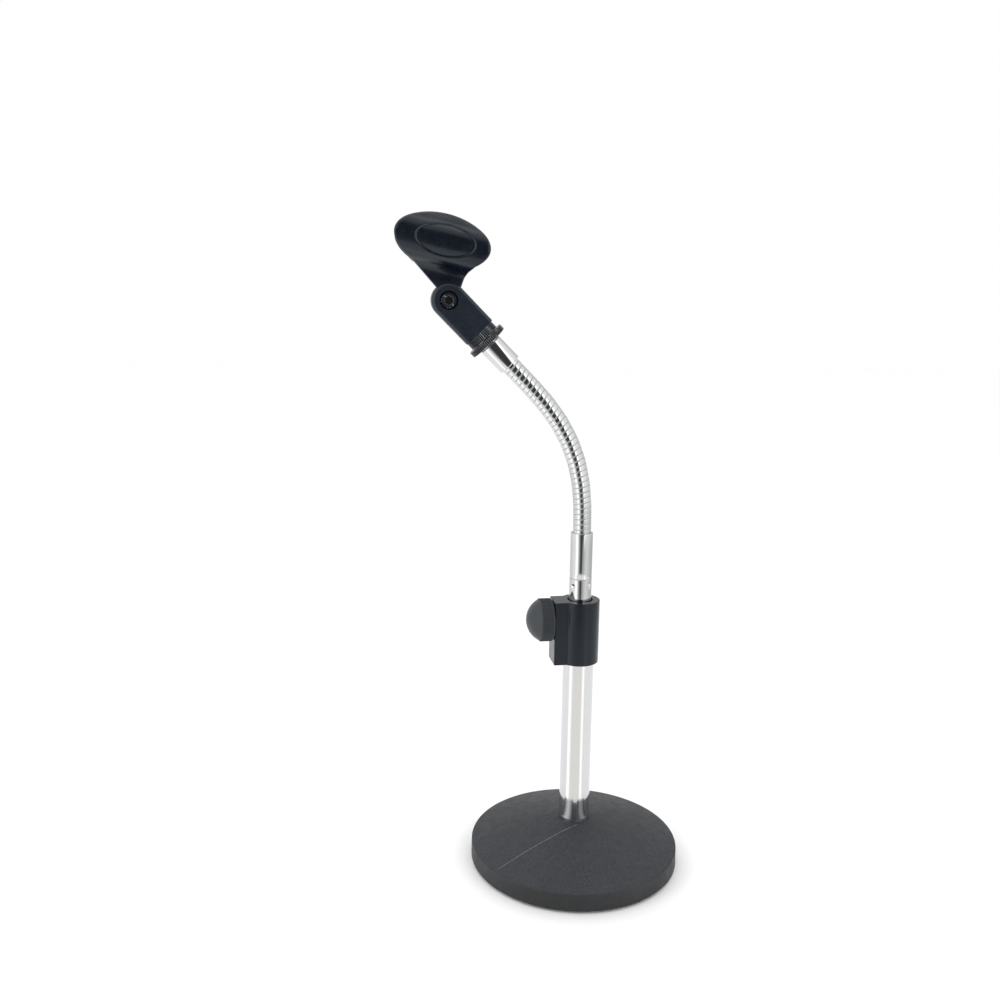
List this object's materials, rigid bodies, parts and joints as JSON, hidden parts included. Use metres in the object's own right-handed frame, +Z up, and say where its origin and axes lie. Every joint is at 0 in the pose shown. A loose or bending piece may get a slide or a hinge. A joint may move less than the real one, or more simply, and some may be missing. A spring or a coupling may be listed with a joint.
{
  "type": "desktop gooseneck microphone stand",
  "caption": "Desktop microphone stand: weighted round base, telescopic tube with a clamp collar and knob, flexible neck and a tilting microphone clip.",
  "frame": {"origin": "centre of the base's underside, on the table", "axes": "+Z up; the neck bends towards -X, in the XZ plane"},
  "size_m": [0.2037, 0.15, 0.4571],
  "materials": {
    "base_coat": "matt charcoal powder coat",
    "foot_foam": "fine matt sheet",
    "zinc_steel": "zinc plated",
    "chrome_tube": "polished chrome",
    "chrome_fitting": "polished chrome",
    "chrome_coil": "polished chrome wire",
    "black_moulding": "satin black",
    "clip_moulding": "satin black",
    "knob_moulding": "matt black",
    "nylon": "natural nylon",
    "brass": "turned",
    "black_metal": "black oxide",
    "fibre": "fibre washer"
  },
  "bodies": {
    "stand": {"base_casting": "base_coat", "foot_pad": "foot_foam", "base_bolt": "zinc_steel", "base_washer": "zinc_steel", "spring_washer": "zinc_steel", "tube_foot_plug": "zinc_steel", "outer_tube": "chrome_tube", "clamp_collar": "black_moulding", "collar_sleeve": "nylon", "clamp_nut": "brass"},
    "slider": {"tube_bush": "nylon"},
    "tube": {"inner_tube": "chrome_tube", "end_plug": "nylon", "stop_ring": "zinc_steel", "neck_lower_ferrule": "chrome_fitting"},
    "link_01": {"gooseneck_link_01": "chrome_coil"},
    "link_02": {"gooseneck_link_02": "chrome_coil"},
    "link_03": {"gooseneck_link_03": "chrome_coil"},
    "link_04": {"gooseneck_link_04": "chrome_coil"},
    "link_05": {"gooseneck_link_05": "chrome_coil"},
    "link_06": {"gooseneck_link_06": "chrome_coil"},
    "link_07": {"gooseneck_link_07": "chrome_coil"},
    "link_08": {"gooseneck_link_08": "chrome_coil"},
    "link_09": {"gooseneck_link_09": "chrome_coil"},
    "link_10": {"gooseneck_link_10": "chrome_coil"},
    "link_11": {"gooseneck_link_11": "chrome_coil"},
    "link_12": {"gooseneck_link_12": "chrome_coil"},
    "link_13": {"gooseneck_link_13": "chrome_coil"},
    "link_14": {"gooseneck_link_14": "chrome_coil"},
    "link_15": {"gooseneck_link_15": "chrome_coil"},
    "link_16": {"gooseneck_link_16": "chrome_coil"},
    "neck_end": {"neck_upper_ferrule": "chrome_fitting"},
    "jam_ring": {"lock_ring": "black_metal"},
    "barrel": {"thread_insert": "black_metal", "clip_barrel": "clip_moulding", "pivot_bolt": "black_metal", "pivot_nut": "black_metal", "friction_washers": "fibre"},
    "clip": {"clip_holder": "clip_moulding"},
    "screw_pad": {"pressure_pad": "nylon"},
    "knob": {"clamp_knob": "knob_moulding", "clamp_screw": "zinc_steel"}
  },
  "joints": [
    {"name": "height_slide", "type": "slide", "parent": "stand", "child": "slider", "axis": [0, 0, 1], "range_m": [-0.008, 0.1]},
    {"name": "tube_turn", "type": "hinge", "parent": "slider", "child": "tube", "pos_m": [0, 0, 0.06], "axis": [0, 0, 1], "continuous": true},
    {"name": "neck_bend", "type": "hinge", "parent": "tube", "child": "link_01", "pos_m": [0, 0, 0.24863], "axis": [0, 1, 0], "range_deg": [-5, 15]},
    {"name": "neck_sway", "type": "hinge", "parent": "link_01", "child": "link_02", "pos_m": [-0.00015, 0, 0.25627], "axis": [0.9998, 0, 0.02], "range_deg": [-7.5, 7.5]},
    {"name": "neck_bend_2", "type": "hinge", "parent": "link_02", "child": "link_03", "pos_m": [-0.00031, 0, 0.26392], "axis": [0, 1, 0], "range_deg": [-5, 15]},
    {"name": "neck_sway_2", "type": "hinge", "parent": "link_03", "child": "link_04", "pos_m": [-0.00106, 0, 0.27153], "axis": [0.9951, 0, 0.099], "range_deg": [-7.5, 7.5]},
    {"name": "neck_bend_3", "type": "hinge", "parent": "link_04", "child": "link_05", "pos_m": [-0.00182, 0, 0.27915], "axis": [0, 1, 0], "range_deg": [-5, 15]},
    {"name": "neck_sway_3", "type": "hinge", "parent": "link_05", "child": "link_06", "pos_m": [-0.00349, 0, 0.28661], "axis": [0.9758, 0, 0.2187], "range_deg": [-7.5, 7.5]},
    {"name": "neck_bend_4", "type": "hinge", "parent": "link_06", "child": "link_07", "pos_m": [-0.00517, 0, 0.29408], "axis": [0, 1, 0], "range_deg": [-5, 15]},
    {"name": "neck_sway_4", "type": "hinge", "parent": "link_07", "child": "link_08", "pos_m": [-0.00789, 0, 0.30122], "axis": [0.9343, 0, 0.3565], "range_deg": [-7.5, 7.5]},
    {"name": "neck_bend_5", "type": "hinge", "parent": "link_08", "child": "link_09", "pos_m": [-0.01062, 0, 0.30837], "axis": [0, 1, 0], "range_deg": [-5, 15]},
    {"name": "neck_sway_5", "type": "hinge", "parent": "link_09", "child": "link_10", "pos_m": [-0.01437, 0, 0.31504], "axis": [0.8718, 0, 0.4898], "range_deg": [-7.5, 7.5]},
    {"name": "neck_bend_6", "type": "hinge", "parent": "link_10", "child": "link_11", "pos_m": [-0.01812, 0, 0.32171], "axis": [0, 1, 0], "range_deg": [-5, 15]},
    {"name": "neck_sway_6", "type": "hinge", "parent": "link_11", "child": "link_12", "pos_m": [-0.0227, 0, 0.32783], "axis": [0.8002, 0, 0.5997], "range_deg": [-7.5, 7.5]},
    {"name": "neck_bend_7", "type": "hinge", "parent": "link_12", "child": "link_13", "pos_m": [-0.02729, 0, 0.33395], "axis": [0, 1, 0], "range_deg": [-5, 15]},
    {"name": "neck_sway_7", "type": "hinge", "parent": "link_13", "child": "link_14", "pos_m": [-0.03244, 0, 0.33961], "axis": [0.7392, 0, 0.6735], "range_deg": [-7.5, 7.5]},
    {"name": "neck_bend_8", "type": "hinge", "parent": "link_14", "child": "link_15", "pos_m": [-0.0376, 0, 0.34526], "axis": [0, 1, 0], "range_deg": [-5, 15]},
    {"name": "neck_sway_8", "type": "hinge", "parent": "link_15", "child": "link_16", "pos_m": [-0.04297, 0, 0.3507], "axis": [0.711, 0, 0.7032], "range_deg": [-7.5, 7.5]},
    {"name": "neck_bend_9", "type": "hinge", "parent": "link_16", "child": "neck_end", "pos_m": [-0.04835, 0, 0.35614], "axis": [0, 1, 0], "range_deg": [-5, 15]},
    {"name": "clip_turn", "type": "hinge", "parent": "neck_end", "child": "barrel", "pos_m": [-0.07649, 0, 0.38457], "axis": [-0.7034, 0, 0.7108], "continuous": true},
    {"name": "lock_ring_turn", "type": "hinge", "parent": "neck_end", "child": "jam_ring", "pos_m": [-0.0677, 0, 0.37569], "axis": [-0.7034, 0, 0.7108], "continuous": true},
    {"name": "clip_tilt", "type": "hinge", "parent": "barrel", "child": "clip", "pos_m": [-0.09351, 0, 0.40178], "axis": [0, 1, 0], "range_deg": [-134, 45]},
    {"name": "clamp_advance", "type": "slide", "parent": "stand", "child": "screw_pad", "axis": [-0.9982, -0.0593, 0], "range_m": [0, 0.003]},
    {"name": "clamp_knob_turn", "type": "hinge", "parent": "screw_pad", "child": "knob", "pos_m": [0, 0, 0.1821], "axis": [-0.9982, -0.0593, 0], "range_deg": [0, 1080]}
  ],
  "couplings": [
    {"joint": "neck_bend_2", "follows": "neck_bend", "ratio": 1},
    {"joint": "neck_sway_2", "follows": "neck_sway", "ratio": 1},
    {"joint": "neck_bend_3", "follows": "neck_bend", "ratio": 1},
    {"joint": "neck_sway_3", "follows": "neck_sway", "ratio": 1},
    {"joint": "neck_bend_4", "follows": "neck_bend", "ratio": 1},
    {"joint": "neck_sway_4", "follows": "neck_sway", "ratio": 1},
    {"joint": "neck_bend_5", "follows": "neck_bend", "ratio": 1},
    {"joint": "neck_sway_5", "follows": "neck_sway", "ratio": 1},
    {"joint": "neck_bend_6", "follows": "neck_bend", "ratio": 1},
    {"joint": "neck_sway_6", "follows": "neck_sway", "ratio": 1},
    {"joint": "neck_bend_7", "follows": "neck_bend", "ratio": 1},
    {"joint": "neck_sway_7", "follows": "neck_sway", "ratio": 1},
    {"joint": "neck_bend_8", "follows": "neck_bend", "ratio": 1},
    {"joint": "neck_sway_8", "follows": "neck_sway", "ratio": 1},
    {"joint": "neck_bend_9", "follows": "neck_bend", "ratio": 1},
    {"joint": "clamp_knob_turn", "follows": "clamp_advance", "rad_per_m": 6283}
  ]
}
